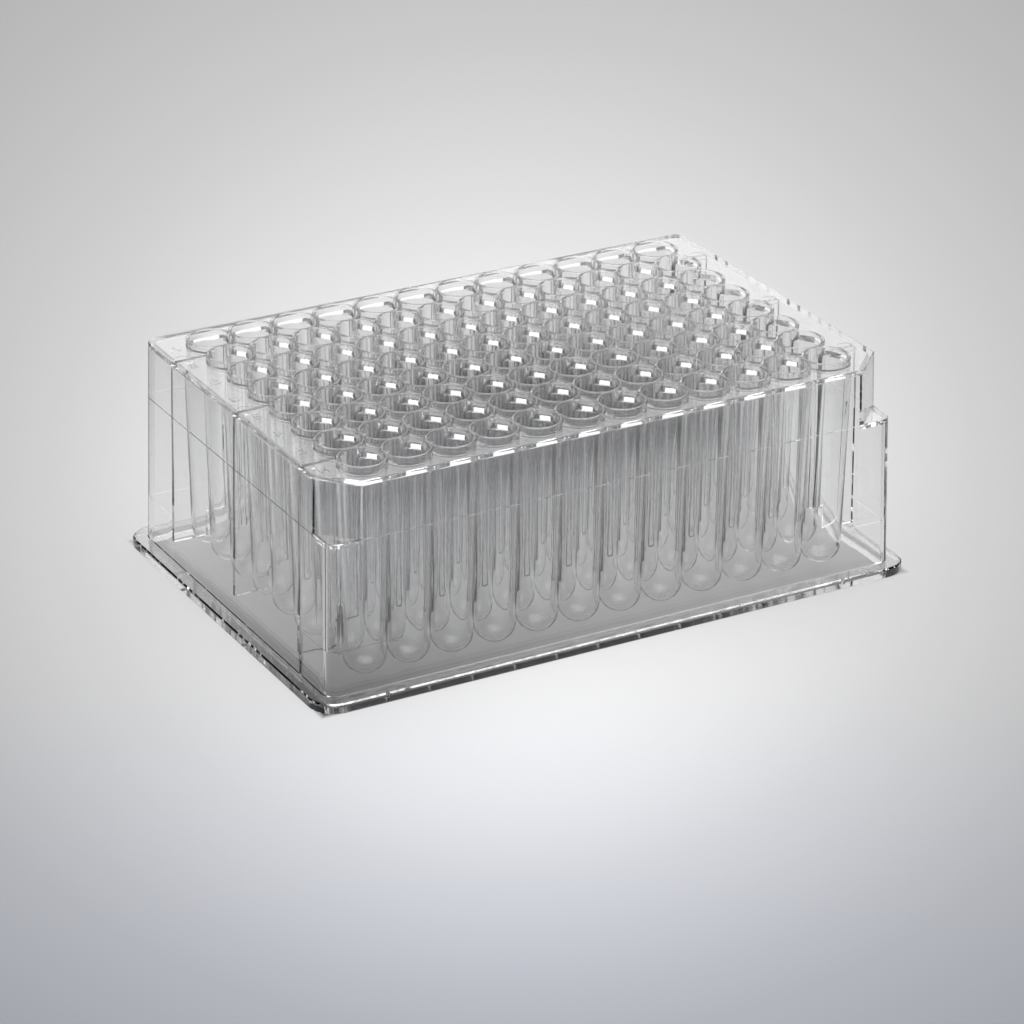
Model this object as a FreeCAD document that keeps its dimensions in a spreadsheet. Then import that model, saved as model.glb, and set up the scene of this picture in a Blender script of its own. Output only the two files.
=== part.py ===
"""A clear deep-well plate with 96 round wells, moulded in one piece.

The plate stands on a flange of the standard footprint. A drafted skirt rises from the flange to a flat deck.
Under the deck hangs a block of tubes, which webs join down to the web level and which hang free below it.
Each tube holds a tapered well with a rounded bottom, and its rim stands a little above the deck.
The round wells and tubes are drawn with flats, which keeps their taper and their ends at a few facets each.

X runs along the columns, Y along the rows and Z up. The origin is the middle of the base.
Lengths are in millimetres and angles in degrees.
"""

import FreeCAD, Part

import math
import os

import Sketcher

SIZES = {
    # where the wells are, and how far the footprint reaches past the centres of the outer ones
    "well_columns": 12,
    "well_rows": 8,
    "well_pitch": 9.0,
    "edge_to_column": 14.38,
    "edge_to_row": 11.24,
    # the foot flange
    "flange_height": 2.0,
    "flange_reach": 2.8,
    "flange_corner": 4.8,
    # the skirt and the deck, which share one wall thickness
    "skirt_wall": 1.2,
    "skirt_draft": 1.3,
    "skirt_corner": 2.5,
    "deck_level": 43.2,
    # the keying notches at the two front corners
    "notch_leg": 6.8,
    "ledge_level": 31.9,
    # the tubes: half their width at the rim, at the web level, at the shoulder and at the end
    "rim_height": 1.0,
    "rim_reach": 4.75,
    "web_level": 10.5,
    "web_reach": 4.2,
    "tube_shoulder_level": 5.0,
    "tube_shoulder_reach": 4.05,
    "tube_end_level": 1.4,
    "tube_end_reach": 2.3,
    # the wells: their width at the mouth, at the shoulder and at the floor
    "mouth_width": 8.2,
    "well_shoulder_level": 5.3,
    "well_shoulder_width": 7.0,
    "floor_level": 2.1,
    "floor_width": 3.8,
    # the ribs between the skirt's short walls and the tubes
    "rib_thickness": 1.0,
    "rib_spacing": 27.0,
    "rib_foot_level": 5.5,
    "rib_gap": 0.6,
    "rib_root": 0.1,
    # how far the strip inside each lower corner of the skirt is cut into the wall at the foot
    "recess_depth": 0.15,
}

# How many flats the round wells and tubes are drawn with. A multiple of four puts flats between neighbours.
SIDES = 8

# A round well's radius times this is the distance to the flats of a drawn well of the same area.
FLAT_SHARE = math.sqrt(math.pi / (SIDES * math.tan(math.pi / SIDES)))

# how far a cutting profile reaches past the material that it cuts
OVERRUN = 3.0

# the ribs at each end: one in the middle and one at the rib spacing on each side of it
RIBS_PER_END = 3

COLUMN_SPAN = "((Sizes.well_columns - 1) * Sizes.well_pitch)"
ROW_SPAN = "((Sizes.well_rows - 1) * Sizes.well_pitch)"
FOOT_LENGTH = f"({COLUMN_SPAN} + 2 * Sizes.edge_to_column)"
FOOT_WIDTH = f"({ROW_SPAN} + 2 * Sizes.edge_to_row)"
SKIRT_LENGTH = f"({FOOT_LENGTH} - 2 * Sizes.flange_reach)"
SKIRT_WIDTH = f"({FOOT_WIDTH} - 2 * Sizes.flange_reach)"
LEAN = "tan(Sizes.skirt_draft * 1 deg)"


def make_sizes(document):
    """The sheet of driving sizes, one named cell each. Returns it, and each size is an attribute of it."""
    sheet = document.addObject("Spreadsheet::Sheet", "Sizes")
    for row, (name, value) in enumerate(SIZES.items(), start=1):
        sheet.set(f"A{row}", name)
        sheet.set(f"B{row}", str(value))
        sheet.setAlias(f"B{row}", name)
    document.recompute()
    return sheet


def origin_feature(body, role):
    """A plane or an axis of the body's own origin."""
    return next(item for item in body.Origin.OriginFeatures if item.Role == role)


def plane_sketch(body, name, plane, offset="0"):
    """A sketch on one of the body's planes, moved along the plane's normal."""
    sketch = body.newObject("Sketcher::SketchObject", name)
    sketch.AttachmentSupport = [(origin_feature(body, plane), "")]
    sketch.MapMode = "FlatFace"
    sketch.setExpression("AttachmentOffset.Base.z", offset)
    return sketch


def bind(sketch, constraint, expression):
    """Add a constraint whose size comes from an expression on the sheet."""
    index = sketch.addConstraint(constraint)
    sketch.setExpression(f"Constraints[{index}]", expression)


def number(sketch, expression):
    """What an expression on the sheet comes to now."""
    value = sketch.evalExpression(expression)
    return float(getattr(value, "Value", value))


def draw_outline(sketch, corners):
    """A closed outline of straight lines, each corner tied to its X and Y expressions."""
    points = [FreeCAD.Vector(number(sketch, x), number(sketch, y), 0) for x, y in corners]
    segments = [Part.LineSegment(start, end) for start, end in zip(points, points[1:] + points[:1])]
    lines = sketch.addGeometry(segments, False)
    for line, after in zip(lines, lines[1:] + lines[:1]):
        sketch.addConstraint(Sketcher.Constraint("Coincident", line, 2, after, 1))
    for line, point, (x, y) in zip(lines, points, corners):
        bind(sketch, Sketcher.Constraint("DistanceX", -1, 1, line, 1, point.x), x)
        bind(sketch, Sketcher.Constraint("DistanceY", -1, 1, line, 1, point.y), y)


def draw_rectangle(sketch, length, width):
    """A sharp rectangle about the sketch's origin."""
    x, y = f"({length}) / 2", f"({width}) / 2"
    draw_outline(sketch, [(x, y), (f"-{x}", y), (f"-{x}", f"-{y}"), (x, f"-{y}")])


def extrude(body, kind, name, sketch, length, upward):
    """A pad or pocket of a level sketch, up or down from it."""
    feature = body.newObject(f"PartDesign::{kind}", name)
    feature.Profile = sketch
    feature.Reversed = upward if kind == "Pocket" else not upward
    feature.setExpression("Length", length)
    return feature


def mirror(body, name, feature, planes, steps=()):
    """Copies of a feature by some pattern steps and then across one or two of the body's planes."""
    steps = list(steps)
    for plane in planes:
        step = body.newObject("PartDesign::Mirrored", f"{name}_{plane[:2].lower()}")
        step.MirrorPlane = (origin_feature(body, plane), [""])
        steps.append(step)
    multiple = body.newObject("PartDesign::MultiTransform", name)
    multiple.Originals = [feature]
    multiple.Transformations = steps
    body.Tip = multiple


def upright_walls(shape):
    """The names of a box's four upright faces."""
    flat = [face.BoundBox.ZLength < 1e-6 for face in shape.Faces]
    return [f"Face{index}" for index, level in enumerate(flat, start=1) if not level]


def rising_edges(shape, reach_x, reach_y):
    """The names of the rising edges that lie past a reach along both X and Y."""
    names = []
    for index, edge in enumerate(shape.Edges, start=1):
        box = edge.BoundBox
        outside = abs(box.Center.x) > reach_x and abs(box.Center.y) > reach_y
        if outside and box.ZLength > 1e-3:
            names.append(f"Edge{index}")
    return names


def add_skirt(body):
    """The skirt and its deck: a drafted block with round corners, hollowed from below."""
    outline = plane_sketch(body, "skirt_outline", "XY_Plane")
    draw_rectangle(outline, SKIRT_LENGTH, SKIRT_WIDTH)
    block = extrude(body, "Pad", "skirt_block", outline, "Sizes.deck_level", upward=True)
    body.Document.recompute()

    draft = body.newObject("PartDesign::Draft", "skirt_draft")
    draft.Base = (block, upright_walls(block.Shape))
    draft.NeutralPlane = (origin_feature(body, "XY_Plane"), [""])
    draft.PullDirection = (origin_feature(body, "Z_Axis"), [""])
    draft.setExpression("Angle", "Sizes.skirt_draft")
    body.Document.recompute()

    corners = body.newObject("PartDesign::Fillet", "skirt_corners")
    corners.Base = (draft, rising_edges(draft.Shape, 0, 0))
    corners.setExpression("Radius", "Sizes.skirt_corner")
    body.Document.recompute()

    underside = next(i for i, face in enumerate(corners.Shape.Faces, start=1) if face.CenterOfMass.z < 1e-6)
    shell = body.newObject("PartDesign::Thickness", "skirt_and_deck")
    shell.Base = (corners, [f"Face{underside}"])
    shell.Reversed = True
    shell.setExpression("Value", "Sizes.skirt_wall")


def add_flange(body):
    """The foot flange round the skirt's lower edge."""
    ring = plane_sketch(body, "flange_outline", "XY_Plane")
    draw_rectangle(ring, FOOT_LENGTH, FOOT_WIDTH)
    draw_rectangle(ring, f"({SKIRT_LENGTH} - Sizes.skirt_wall)", f"({SKIRT_WIDTH} - Sizes.skirt_wall)")
    flange = extrude(body, "Pad", "flange", ring, "Sizes.flange_height", upward=True)
    body.Document.recompute()

    outer_edges = rising_edges(flange.Shape, number(ring, SKIRT_LENGTH) / 2, number(ring, SKIRT_WIDTH) / 2)
    corners = body.newObject("PartDesign::Fillet", "flange_corners")
    corners.Base = (flange, outer_edges)
    corners.setExpression("Radius", "Sizes.flange_corner")


def draw_notch(sketch, inset, leg):
    """A right triangle at the front left corner of the deck, its square corner moved inwards."""
    x = f"({SKIRT_LENGTH} / 2 - Sizes.deck_level * {LEAN} - {inset})"
    y = f"({SKIRT_WIDTH} / 2 - Sizes.deck_level * {LEAN} - {inset})"
    draw_outline(sketch, [(f"-{x}", f"-{y}"), (f"-{x} + {leg}", f"-{y}"), (f"-{x}", f"-{y} + {leg}")])


def add_notches(body):
    """The keying notches at the two front corners, with a wall and a ledge as thick as the skirt's."""
    inside = plane_sketch(body, "backing_outline", "XY_Plane", "Sizes.ledge_level - Sizes.skirt_wall")
    draw_notch(inside, "Sizes.skirt_wall / 2", "(Sizes.notch_leg + (sqrt(2) - 1) * Sizes.skirt_wall)")
    height = "Sizes.deck_level + Sizes.skirt_wall / 2 - Sizes.ledge_level"
    backing = extrude(body, "Pad", "notch_backing", inside, height, upward=True)
    mirror(body, "notch_backings", backing, ["YZ_Plane"])

    outside = plane_sketch(body, "notch_outline", "XY_Plane", "Sizes.ledge_level")
    draw_notch(outside, f"-{OVERRUN}", f"(Sizes.notch_leg + {2 * OVERRUN})")
    height = f"Sizes.deck_level + {OVERRUN} - Sizes.ledge_level"
    notch = extrude(body, "Pocket", "notch", outside, height, upward=True)
    mirror(body, "notches", notch, ["YZ_Plane"])


def add_corner_recesses(body):
    """A strip inside each lower corner of the skirt, up to the web level, where the wall is thinner."""
    strip = plane_sketch(body, "recess_outline", "XY_Plane")
    x = f"({SKIRT_LENGTH} / 2 - Sizes.skirt_wall + Sizes.recess_depth)"
    y = f"({SKIRT_WIDTH} / 2 - Sizes.skirt_wall + Sizes.recess_depth)"
    inner_x = f"({x} - Sizes.skirt_wall)"
    inner_y = f"({y} - Sizes.skirt_wall)"
    end_x = f"(({COLUMN_SPAN} - Sizes.well_pitch) / 2)"
    end_y = "(Sizes.rib_spacing + Sizes.rib_thickness)"
    corners = [(x, y), (end_x, y), (end_x, inner_y), (inner_x, inner_y), (inner_x, end_y), (x, end_y)]
    draw_outline(strip, corners)
    recess = extrude(body, "Pocket", "corner_recess", strip, "Sizes.web_level", upward=True)
    mirror(body, "corner_recesses", recess, ["YZ_Plane", "XZ_Plane"])


def rib_corners():
    """The outline of a rib at the left end, seen from the front, its outer edge in the middle of the wall."""
    foot = "Sizes.rib_foot_level"
    top = "(Sizes.deck_level - Sizes.skirt_wall / 2)"
    wall = f"({SKIRT_LENGTH} - Sizes.skirt_wall) / 2"
    between = f"({COLUMN_SPAN} - Sizes.well_pitch) / 2"
    free = f"({between} + Sizes.rib_thickness / 2 + sqrt(2) * (Sizes.web_reach + Sizes.rib_gap))"
    root = f"({between} + sqrt(2) * Sizes.web_reach - Sizes.rib_root)"
    return [
        (f"-({wall} - {foot} * {LEAN})", foot),
        (f"-{free}", foot),
        (f"-{free}", "Sizes.web_level"),
        (f"-{root}", "Sizes.web_level"),
        (f"-{root}", top),
        (f"-({wall} - {top} * {LEAN})", top),
    ]


def add_ribs(body):
    """The upright ribs that hold the end tubes to the short walls, three at each end."""
    profile = plane_sketch(body, "rib_profile", "XZ_Plane", "Sizes.rib_spacing")
    draw_outline(profile, rib_corners())
    rib = body.newObject("PartDesign::Pad", "rib")
    rib.Profile = profile
    rib.SideType = "Symmetric"
    rib.setExpression("Length", "Sizes.rib_thickness")
    row = body.newObject("PartDesign::LinearPattern", "rib_row")
    row.Direction = (origin_feature(body, "Y_Axis"), [""])
    row.Mode = "Spacing"
    row.setExpression("Offset", "Sizes.rib_spacing")
    row.Occurrences = RIBS_PER_END
    mirror(body, "ribs", rib, ["YZ_Plane"], [row])


def add_casing(document):
    """Everything round the tubes, as one body."""
    body = document.addObject("PartDesign::Body", "casing")
    add_skirt(body)
    add_flange(body)
    add_notches(body)
    add_corner_recesses(body)
    add_ribs(body)
    document.recompute()
    return body


def polygon_ring(sides, reach, level, corner_first=False):
    """The corners of a level polygon about the Z axis.

    Its flats lie at the reach and one of them faces X, or its corners lie at the reach and one of them faces X.
    """
    radius = reach if corner_first else reach / math.cos(math.pi / sides)
    start = 0.0 if corner_first else -math.pi / sides
    turns = [start + 2 * math.pi * i / sides for i in range(sides)]
    return [FreeCAD.Vector(radius * math.cos(turn), radius * math.sin(turn), level) for turn in turns]


def rectangle_ring(half_length, half_width, level):
    """The corners of a level rectangle about the Z axis."""
    signs = ((1, -1), (1, 1), (-1, 1), (-1, -1))
    return [FreeCAD.Vector(x * half_length, y * half_width, level) for x, y in signs]


def flat_sided_solid(rings):
    """A solid through level rings of corners, lowest first, whose sides are all flat.

    A loft or a drafted pad would give each side a spline surface.
    """
    faces = [Part.Face(Part.makePolygon(ring + ring[:1])) for ring in (rings[0], rings[-1])]
    count = len(rings[0])
    for low, high in zip(rings, rings[1:]):
        for i in range(count):
            after = (i + 1) % count
            side = [low[i], low[after], high[after], high[i], low[i]]
            faces.append(Part.Face(Part.makePolygon(side)))
    solid = Part.Solid(Part.Shell(faces))
    if solid.Volume < 0:
        solid.reverse()
    return solid


def add_shape(document, name, shape):
    """A shape as an object of the document."""
    item = document.addObject("Part::Feature", name)
    item.Shape = shape
    return item


def grid(form, columns, rows, pitch):
    """Copies of a form on a grid about the origin."""
    copies = []
    for column in range(columns):
        for row in range(rows):
            x = (column - (columns - 1) / 2) * pitch
            y = (row - (rows - 1) / 2) * pitch
            copies.append(form.translated(FreeCAD.Vector(x, y, 0)))
    return Part.makeCompound(copies)


def joined_tubes(size):
    """The block of joined tubes with their rims, and the gaps among the tubes and the rims cut out of it."""
    half_x = (size.well_columns - 1) * size.well_pitch / 2
    half_y = (size.well_rows - 1) * size.well_pitch / 2
    rim_level = size.deck_level + size.rim_height
    block = flat_sided_solid(
        [
            rectangle_ring(half_x + size.web_reach, half_y + size.web_reach, size.web_level),
            rectangle_ring(half_x + size.rim_reach, half_y + size.rim_reach, size.deck_level),
            rectangle_ring(half_x + size.rim_reach, half_y + size.rim_reach, rim_level),
        ]
    )

    # a gap among four tubes is a square whose sides touch the tubes' slanting flats
    low_reach = size.well_pitch - math.sqrt(2) * size.web_reach
    high_reach = size.well_pitch - math.sqrt(2) * size.rim_reach
    hollow = flat_sided_solid(
        [
            polygon_ring(4, low_reach, size.web_level, corner_first=True),
            polygon_ring(4, high_reach, size.deck_level - size.skirt_wall, corner_first=True),
        ]
    )
    pit = flat_sided_solid(
        [
            polygon_ring(4, high_reach, size.deck_level, corner_first=True),
            polygon_ring(4, high_reach, rim_level, corner_first=True),
        ]
    )
    columns, rows = round(size.well_columns) + 1, round(size.well_rows) + 1
    hollows = grid(hollow, columns, rows, size.well_pitch)
    return block.cut(hollows).cut(grid(pit, columns, rows, size.well_pitch))


def free_tubes(size):
    """The lower ends of the tubes, which hang free below the webs and close in a rounded end."""
    tube = flat_sided_solid(
        [
            polygon_ring(SIDES, size.tube_end_reach, size.tube_end_level),
            polygon_ring(SIDES, size.tube_shoulder_reach, size.tube_shoulder_level),
            polygon_ring(SIDES, size.web_reach, size.web_level),
        ]
    )
    return grid(tube, round(size.well_columns), round(size.well_rows), size.well_pitch)


def wells(size):
    """The wells' own space, tapered from the mouth to the shoulder and rounded off below it."""
    well = flat_sided_solid(
        [
            polygon_ring(SIDES, size.floor_width / 2 * FLAT_SHARE, size.floor_level),
            polygon_ring(SIDES, size.well_shoulder_width / 2 * FLAT_SHARE, size.well_shoulder_level),
            polygon_ring(SIDES, size.mouth_width / 2 * FLAT_SHARE, size.deck_level + size.rim_height),
        ]
    )
    return grid(well, round(size.well_columns), round(size.well_rows), size.well_pitch)


def check(document, plate):
    """Stop if an object failed, or if the plate isn't one whole solid."""
    for item in document.Objects:
        if "Invalid" in item.State or "Error" in item.State:
            raise RuntimeError(f"{item.Label} is {item.State}")
    if plate.Shape.isNull() or not plate.Shape.isValid():
        raise RuntimeError("the plate has no valid shape")
    if len(plate.Shape.Solids) != 1:
        raise RuntimeError(f"the plate has {len(plate.Shape.Solids)} solids")


def main():
    """Build the plate and write its STEP file.

    The casing is a body. The tubes and wells are shapes, because a document's own booleans name every face of
    the hundreds of copies and take many times as long.
    """
    document = FreeCAD.newDocument("deep_well_plate")
    size = make_sizes(document)
    casing = add_casing(document)
    tubes = add_shape(document, "joined_tubes", joined_tubes(size))
    ends = add_shape(document, "free_tubes", free_tubes(size))
    spaces = add_shape(document, "wells", wells(size))
    joined = casing.Shape.fuse(tubes.Shape).fuse(ends.Shape)
    plate = add_shape(document, "well_plate", joined.cut(spaces.Shape))
    plate.Label = "well_plate"
    document.recompute()
    check(document, plate)
    os.makedirs("parts", exist_ok=True)
    plate.Shape.exportStep("parts/well_plate.step")


main()
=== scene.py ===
"""The looks of a clear deep-well plate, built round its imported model.

The plate is one moulding, so its visible form is one closed surface: an upper sheet that dips into every
well, a lower sheet that follows the tubes from below, and a casing that joins them round their rims. Lengths
are in metres. X runs along the columns, Y along the rows, Z up, and the origin is the middle of the base.
"""

import math

import bmesh
import bpy
import numpy as np
from bpy.props import FloatProperty, FloatVectorProperty, IntProperty, PointerProperty
from mathutils import Matrix, Vector


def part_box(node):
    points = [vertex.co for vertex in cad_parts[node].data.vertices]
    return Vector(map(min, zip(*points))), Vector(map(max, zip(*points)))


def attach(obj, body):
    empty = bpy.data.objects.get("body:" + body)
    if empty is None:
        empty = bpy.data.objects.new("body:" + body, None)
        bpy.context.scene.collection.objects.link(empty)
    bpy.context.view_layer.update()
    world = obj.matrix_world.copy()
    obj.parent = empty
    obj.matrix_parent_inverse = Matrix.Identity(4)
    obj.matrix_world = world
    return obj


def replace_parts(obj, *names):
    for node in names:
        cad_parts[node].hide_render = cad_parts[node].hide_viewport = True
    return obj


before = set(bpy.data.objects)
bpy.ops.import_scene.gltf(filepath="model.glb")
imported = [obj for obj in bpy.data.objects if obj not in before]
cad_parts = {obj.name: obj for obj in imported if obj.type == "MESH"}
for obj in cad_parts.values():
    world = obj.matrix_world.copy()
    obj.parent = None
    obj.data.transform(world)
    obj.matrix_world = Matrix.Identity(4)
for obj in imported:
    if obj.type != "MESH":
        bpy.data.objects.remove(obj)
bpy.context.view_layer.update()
NODE = "well_plate"
BODY = "root"
FOOT_LOW, FOOT_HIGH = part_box(NODE)

bl_info = {
    "name": "Deep-well plate looks",
    "version": (1, 0, 0),
    "blender": (4, 5, 0),
    "location": "3D View > Sidebar > Well plate",
    "description": "Builds the clear moulding, its raised marks and a plain studio round the packed plate",
    "category": "Add Mesh",
}

# How finely each eighth of a tube is drawn: from the middle of a side to the join with the next tube, and on.
JOIN_STEPS = 2
ARC_STEPS = 4
EIGHTH_STEPS = JOIN_STEPS + ARC_STEPS
# How many rings close the rounded bottom of a well or a tube.
BOTTOM_RINGS = 5
# How many steps a corner of the casing takes: a straight run, a quarter circle and a straight run.
CORNER_RUN_STEPS = 2
CORNER_ARC_STEPS = 4
CORNER_STEPS = 2 * CORNER_RUN_STEPS + CORNER_ARC_STEPS
# How many sides a small drum has, and how far a raised mark reaches into the moulding that it joins.
DRUM_SIDES = 24
SUNK = 0.0002
# Points of the surface nearer to each other than this are one point. The shift keeps round values off the
# borders between one rounded value and the next.
SAME_POINT = 1e-7
ROUNDING_SHIFT = 0.31
# The least turn between a web's side and the round of its tube.
LEAST_BEND = math.pi / 120
# How far up the tubes, from the webs' end to the ceiling, their middle ring lies.
MIDDLE_RING = 0.55
# How far the lower ends of the ribs stand clear of the last tubes.
RIB_CLEARANCE = 0.0009
# How many edge breaks the collar round the wells lies outside the rims.
COLLAR_BREAKS = 3
# Edges whose faces turn by more than this are drawn sharp.
SHARP_ANGLE = math.radians(35)

# Where the pits in the flange lie: two along the front, by X, and one on the left, by Y.
FRONT_DIMPLES = (-0.0503, 0.0481)
LEFT_DIMPLE = -0.0016

# The camera, solved on the plate's own sizes: turn from X, tilt and roll in degrees, place, lens and sensor.
CAMERA_TURN = 60.594
CAMERA_TILT = -25.007
CAMERA_ROLL = 0.452
CAMERA_PLACE = (-0.349783, -0.619132, 0.341100)
CAMERA_LENS = 142.18
CAMERA_SENSOR = 36.0


class PlateSizes(bpy.types.PropertyGroup):
    """The sizes of the moulding."""

    columns: IntProperty(name="Columns", description="Wells along X", default=12, min=2)
    rows: IntProperty(name="Rows", description="Wells along Y", default=8, min=2)
    pitch: FloatProperty(name="Pitch", description="From one well to the next", default=0.009, unit="LENGTH")
    foot_length: FloatProperty(
        name="Foot length", description="The flange along X", default=FOOT_HIGH.x - FOOT_LOW.x,
        unit="LENGTH"
    )
    foot_width: FloatProperty(
        name="Foot width", description="The flange along Y", default=FOOT_HIGH.y - FOOT_LOW.y, unit="LENGTH"
    )
    rim_level: FloatProperty(
        name="Rim level", description="The top of the rims", default=FOOT_HIGH.z, unit="LENGTH"
    )
    rim_height: FloatProperty(
        name="Rim height", description="How far the rims stand above the deck", default=0.001, unit="LENGTH"
    )
    rim_radius: FloatProperty(name="Rim radius", description="Outside a rim", default=0.00475, unit="LENGTH")
    web_radius: FloatProperty(
        name="Tube radius", description="Outside a tube, where the webs end", default=0.0042, unit="LENGTH"
    )
    web_level: FloatProperty(
        name="Web level", description="Where the webs end", default=0.0105, unit="LENGTH"
    )
    web_width: FloatProperty(
        name="Web width", description="A web, side to side", default=0.0012, unit="LENGTH"
    )
    tube_shoulder_radius: FloatProperty(
        name="Tube shoulder radius", description="Outside a tube, where it rounds off", default=0.00405,
        unit="LENGTH"
    )
    tube_shoulder_level: FloatProperty(
        name="Tube shoulder level", description="Where a tube rounds off", default=0.005, unit="LENGTH"
    )
    tube_end_level: FloatProperty(
        name="Tube end", description="The lowest point of a tube", default=0.0014, unit="LENGTH"
    )
    mouth_radius: FloatProperty(
        name="Mouth radius", description="A well at its mouth", default=0.0041, unit="LENGTH"
    )
    well_shoulder_radius: FloatProperty(
        name="Well shoulder radius", description="A well, where it rounds off", default=0.0035,
        unit="LENGTH"
    )
    well_shoulder_level: FloatProperty(
        name="Well shoulder level", description="Where a well rounds off", default=0.0053, unit="LENGTH"
    )
    floor_level: FloatProperty(
        name="Well floor", description="The lowest point of a well", default=0.0021, unit="LENGTH"
    )
    wall: FloatProperty(
        name="Wall", description="Thickness of the skirt and the deck", default=0.0012, unit="LENGTH"
    )
    draft: FloatProperty(
        name="Draft", description="How far the skirt leans inwards", default=math.radians(1.3),
        subtype="ANGLE"
    )
    skirt_corner: FloatProperty(
        name="Skirt corner", description="Radius outside", default=0.0025, unit="LENGTH"
    )
    flange_height: FloatProperty(
        name="Flange height", description="The foot flange", default=0.002, unit="LENGTH"
    )
    flange_reach: FloatProperty(
        name="Flange reach", description="How far the flange stands out", default=0.0028, unit="LENGTH"
    )
    flange_corner: FloatProperty(
        name="Flange corner", description="Radius outside", default=0.0048, unit="LENGTH"
    )
    notch_leg: FloatProperty(
        name="Notch leg", description="How far a front notch runs along each side", default=0.0068,
        unit="LENGTH"
    )
    ledge_level: FloatProperty(
        name="Ledge level", description="The foot of the notches", default=0.0319, unit="LENGTH"
    )
    recess: FloatProperty(
        name="Recess", description="How much thinner the lower corners are", default=0.00015, unit="LENGTH"
    )
    edge_break: FloatProperty(
        name="Edge break", description="How far the moulded edges are rounded off", default=0.00014,
        unit="LENGTH"
    )
    rib_thickness: FloatProperty(
        name="Rib thickness", description="The end ribs", default=0.001, unit="LENGTH"
    )
    rib_spacing: FloatProperty(
        name="Rib spacing", description="From rib to rib", default=0.027, unit="LENGTH"
    )
    rib_foot_level: FloatProperty(
        name="Rib foot", description="The lower end of the ribs", default=0.0055, unit="LENGTH"
    )
    pad_radius: FloatProperty(
        name="Pad radius", description="The round ejector pads under the deck", default=0.0019,
        unit="LENGTH"
    )
    pad_depth: FloatProperty(
        name="Pad depth", description="How far the pads hang", default=0.0003, unit="LENGTH"
    )
    mark_height: FloatProperty(
        name="Mark height", description="How far letters and gate marks stand up", default=0.00014,
        unit="LENGTH"
    )
    letter_size: FloatProperty(
        name="Letter size", description="The row letters", default=0.003, unit="LENGTH"
    )
    gate_radius: FloatProperty(
        name="Gate radius", description="The round marks on the front of the deck", default=0.0006,
        unit="LENGTH"
    )
    dimple_radius: FloatProperty(
        name="Dimple radius", description="The small pits in the flange", default=0.00045, unit="LENGTH"
    )


class MouldingLook(bpy.types.PropertyGroup):
    """The finish of the clear plastic."""

    tint: FloatVectorProperty(
        name="Tint", description="Colour of the clear plastic", subtype="COLOR", size=3,
        default=(0.994, 0.995, 0.996)
    )
    rim: FloatVectorProperty(
        name="Rim", description="Colour of a wall that is looked along", subtype="COLOR", size=3,
        default=(0.1, 0.1, 0.105)
    )
    # Painted shade: the flange's side is drawn in this darker colour for the shade where light leaves it
    # downward.
    edge: FloatVectorProperty(
        name="Edge", description="Colour of the flange's side", subtype="COLOR", size=3,
        default=(0.35, 0.35, 0.35)
    )
    flange_shade_depth: FloatProperty(
        name="Edge depth", description="How far in the flange's side reaches", default=0.00025,
        unit="LENGTH"
    )
    haze: FloatProperty(name="Haze", description="How milky each face is", default=0.0, subtype="FACTOR")
    top_haze: FloatProperty(
        name="Top haze", description="How much milkier each face is at the rims", default=0.12,
        subtype="FACTOR"
    )
    top_depth: FloatProperty(
        name="Top depth", description="How far down the milkier part reaches", default=0.005, unit="LENGTH"
    )
    shade: FloatVectorProperty(
        name="Shade", description="What each wall lets through to the floor", subtype="COLOR", size=3,
        default=(0.965, 0.965, 0.965)
    )


class StudioLook(bpy.types.PropertyGroup):
    """The floor, with its painted pool of light and painted shadow, and the light."""

    aim: FloatProperty(
        name="Aim", description="Which way the camera looks, from X", default=math.radians(CAMERA_TURN),
        subtype="ANGLE"
    )
    # The shape of the pool of light painted on the floor.
    glow_stretch: FloatProperty(
        name="Glow stretch", description="How the pool of light on the floor narrows with depth",
        default=0.481
    )
    glow_spread: FloatProperty(
        name="Glow spread", description="How the pool of light on the floor widens with depth", default=2.45
    )
    # Painted shade on the floor: the shadow under the plate, and darker paint towards the back for light that
    # falls off.
    shadow_depth: FloatProperty(
        name="Shadow depth", description="How much darker the floor is under the plate", default=0.8,
        subtype="FACTOR"
    )
    shadow_length: FloatProperty(
        name="Shadow length", description="How far the shadow fades towards the back", default=0.12,
        unit="LENGTH"
    )
    fall_off: FloatProperty(
        name="Fall-off", description="How much darker the paint is towards the back, per metre", default=0.6
    )
    shadow_edge: FloatProperty(
        name="Shadow edge", description="How wide the shadow fades inside the flange", default=0.0012,
        unit="LENGTH"
    )
    # The size of the pool of light painted on the floor.
    glow_radius: FloatProperty(
        name="Glow radius", description="Where the pool of light has faded", default=0.3, unit="LENGTH"
    )


# ----------------------------------------------------------------------------------------------------
# surfaces


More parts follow.
